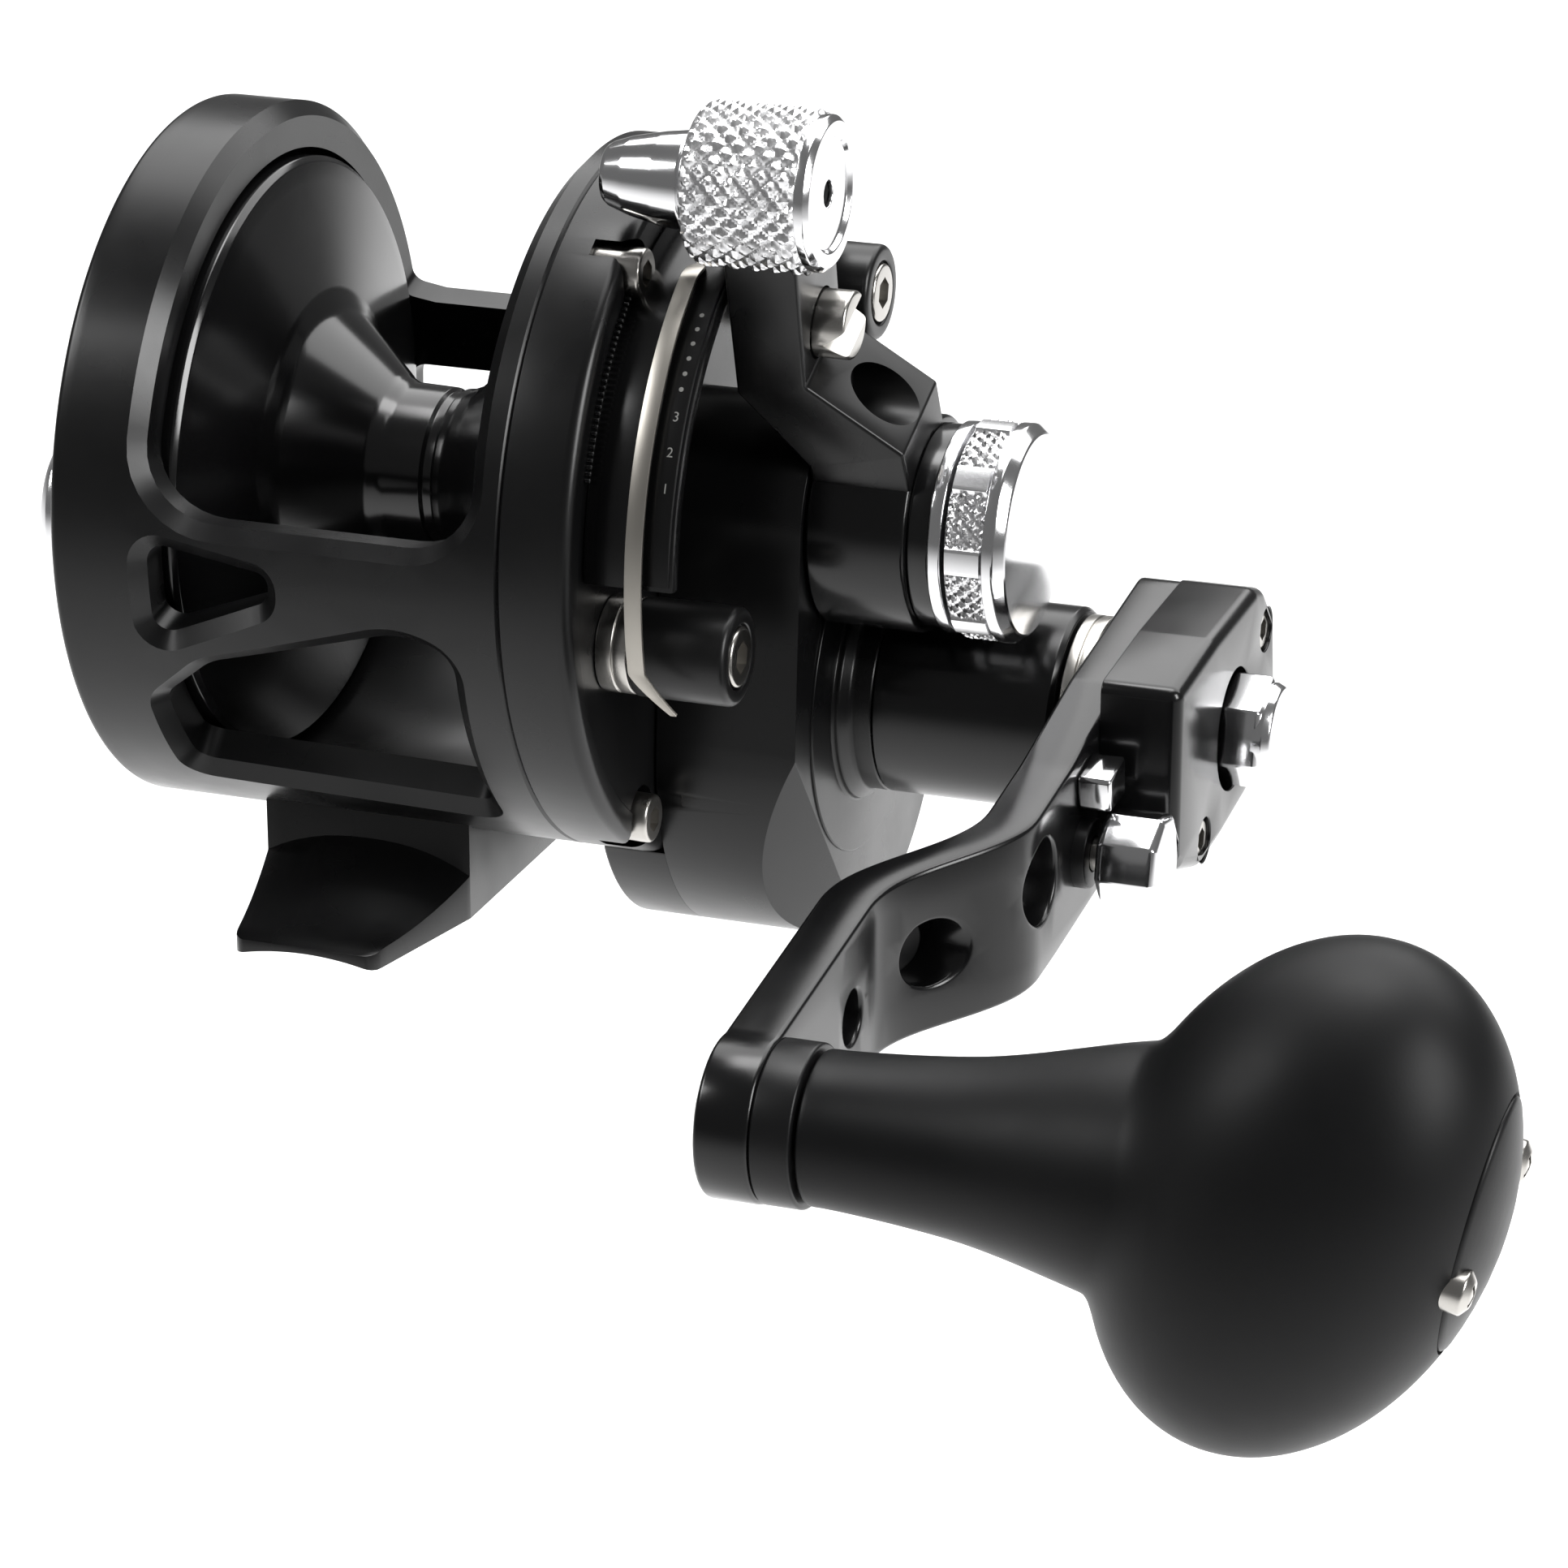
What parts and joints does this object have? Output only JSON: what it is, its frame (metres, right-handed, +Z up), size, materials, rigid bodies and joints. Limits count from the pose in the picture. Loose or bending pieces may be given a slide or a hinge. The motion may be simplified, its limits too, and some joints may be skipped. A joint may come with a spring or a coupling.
{
  "type": "trolling reel",
  "caption": "Narrow two-speed lever-drag trolling reel: machined frame, spool, geared side plate, swinging drag lever, offset crank arm with round power knob, and foot for a rod's reel seat.",
  "frame": {"origin": "centre of the reel foot's underside", "axes": "+X from the left plate to the handle along the spool axis, -Y towards the angler, +Z up"},
  "size_m": [0.1485, 0.1183, 0.092],
  "materials": {
    "black_anodised": "black anodised, satin with a soft sheen",
    "spool_gloss_black": "black anodised, gloss",
    "polished_aluminium": "polished, faint turning lines",
    "chrome": "bright chrome plate",
    "screw_steel": "stainless, lightly brushed",
    "bearing_steel": "ground bearing steel",
    "shaft_steel": "ground stainless",
    "gear_steel": "machined stainless",
    "drag_carbon": "woven carbon friction washer, matt",
    "stop_rubber": "matt black rubber",
    "grip_rubber": "matt charcoal, slightly soft",
    "black_trim": "satin black"
  },
  "bodies": {
    "reel_body": {"frame": "black_anodised", "reel_foot": "black_anodised", "foot_screws": "screw_steel", "spool_shaft": "shaft_steel", "side_plate": "black_anodised", "side_plate_screws": "screw_steel", "pinion_bearing": "bearing_steel", "gear_housing": "black_anodised", "housing_cover": "black_anodised", "inner_shaft_bearing": "bearing_steel", "outer_shaft_bearing": "bearing_steel", "dog_pin": "shaft_steel", "quadrant_plate": "black_anodised", "quadrant_strip": "screw_steel", "post_collars": "screw_steel", "post_sleeves": "stop_rubber", "post_screws": "screw_steel", "drag_cam": "shaft_steel"},
    "clicker": {"clicker_knob": "polished_aluminium", "click_pawl": "shaft_steel"},
    "spool": {"spool": "spool_gloss_black", "left_bearing": "bearing_steel", "right_bearing": "bearing_steel", "click_gear": "shaft_steel", "drag_washer": "drag_carbon"},
    "pinions": {"low_pinion": "gear_steel", "high_pinion": "gear_steel", "drag_disc": "gear_steel", "belleville_springs": "bearing_steel"},
    "crank": {"handle_shaft": "shaft_steel", "high_main_gear": "gear_steel", "ratchet_wheel": "shaft_steel", "handle_spacer": "screw_steel", "handle_arm": "black_anodised", "hub_block": "black_anodised", "hub_screws": "screw_steel", "release_neck": "black_trim", "release_latch": "chrome", "knob_spindle": "screw_steel", "knob_collar": "black_trim", "spindle_nut": "screw_steel"},
    "low_gear": {"low_main_gear": "gear_steel"},
    "dog": {"ratchet_dog": "shaft_steel"},
    "lever": {"drag_lever": "black_anodised", "lever_knob": "chrome", "lever_knob_nose": "chrome", "lever_knob_screw": "screw_steel", "hub_ring": "black_anodised", "preset_ring": "polished_aluminium"},
    "strike": {"strike_button": "chrome"},
    "preset": {"preset_knob": "chrome", "preset_cap": "chrome"},
    "shift": {"shift_button": "chrome", "shift_rod": "shaft_steel"},
    "release": {"release_button": "chrome"},
    "grip": {"knob_grip": "grip_rubber", "knob_bearings": "bearing_steel", "knob_end_cap": "black_trim", "end_cap_screws": "screw_steel"}
  },
  "joints": [
    {"name": "handle_crank", "type": "hinge", "parent": "reel_body", "child": "crank", "pos_m": [0.03, 0.008, 0.01858], "axis": [1, 0, 0], "continuous": true},
    {"name": "pinion_spin", "type": "hinge", "parent": "reel_body", "child": "pinions", "pos_m": [0.03, 0, 0.038], "axis": [1, 0, 0], "continuous": true},
    {"name": "spool_spin", "type": "hinge", "parent": "reel_body", "child": "spool", "pos_m": [0.03, 0, 0.038], "axis": [1, 0, 0], "continuous": true},
    {"name": "low_gear_spin", "type": "hinge", "parent": "reel_body", "child": "low_gear", "pos_m": [0.03, 0.008, 0.01858], "axis": [1, 0, 0], "continuous": true},
    {"name": "dog_swing", "type": "hinge", "parent": "reel_body", "child": "dog", "pos_m": [0.0278, -0.0056, 0.01858], "axis": [1, 0, 0], "range_deg": [-8, 2], "stiffness_Nm_per_rad": 0.002},
    {"name": "clicker_turn", "type": "hinge", "parent": "reel_body", "child": "clicker", "pos_m": [-0.025, -0.02, 0.038], "axis": [1, 0, 0], "range_deg": [-90, 0]},
    {"name": "drag_lever_turn", "type": "hinge", "parent": "reel_body", "child": "lever", "pos_m": [0.03, 0, 0.038], "axis": [1, 0, 0], "range_deg": [-44, 56.5]},
    {"name": "strike_push", "type": "slide", "parent": "lever", "child": "strike", "axis": [1, 0, 0], "range_m": [-0.0012, 0], "stiffness_N_per_m": 200, "springref_m": 0.001},
    {"name": "preset_turn", "type": "hinge", "parent": "reel_body", "child": "preset", "pos_m": [0.03, 0, 0.038], "axis": [1, 0, 0], "range_deg": [-150, 150]},
    {"name": "shift_push", "type": "slide", "parent": "crank", "child": "shift", "axis": [1, 0, 0], "range_m": [-0.002, 0], "stiffness_N_per_m": 300, "springref_m": 0.001},
    {"name": "release_push", "type": "slide", "parent": "crank", "child": "release", "axis": [1, 0, 0], "range_m": [-0.001, 0], "stiffness_N_per_m": 300, "springref_m": 0.001},
    {"name": "grip_spin", "type": "hinge", "parent": "crank", "child": "grip", "pos_m": [0.09, -0.0703, 0.0099], "axis": [1, 0, 0], "continuous": true}
  ],
  "couplings": [
    {"joint": "pinion_spin", "follows": "handle_crank", "ratio": -5},
    {"joint": "spool_spin", "follows": "handle_crank", "ratio": -5},
    {"joint": "low_gear_spin", "follows": "handle_crank", "ratio": 2.2414}
  ]
}
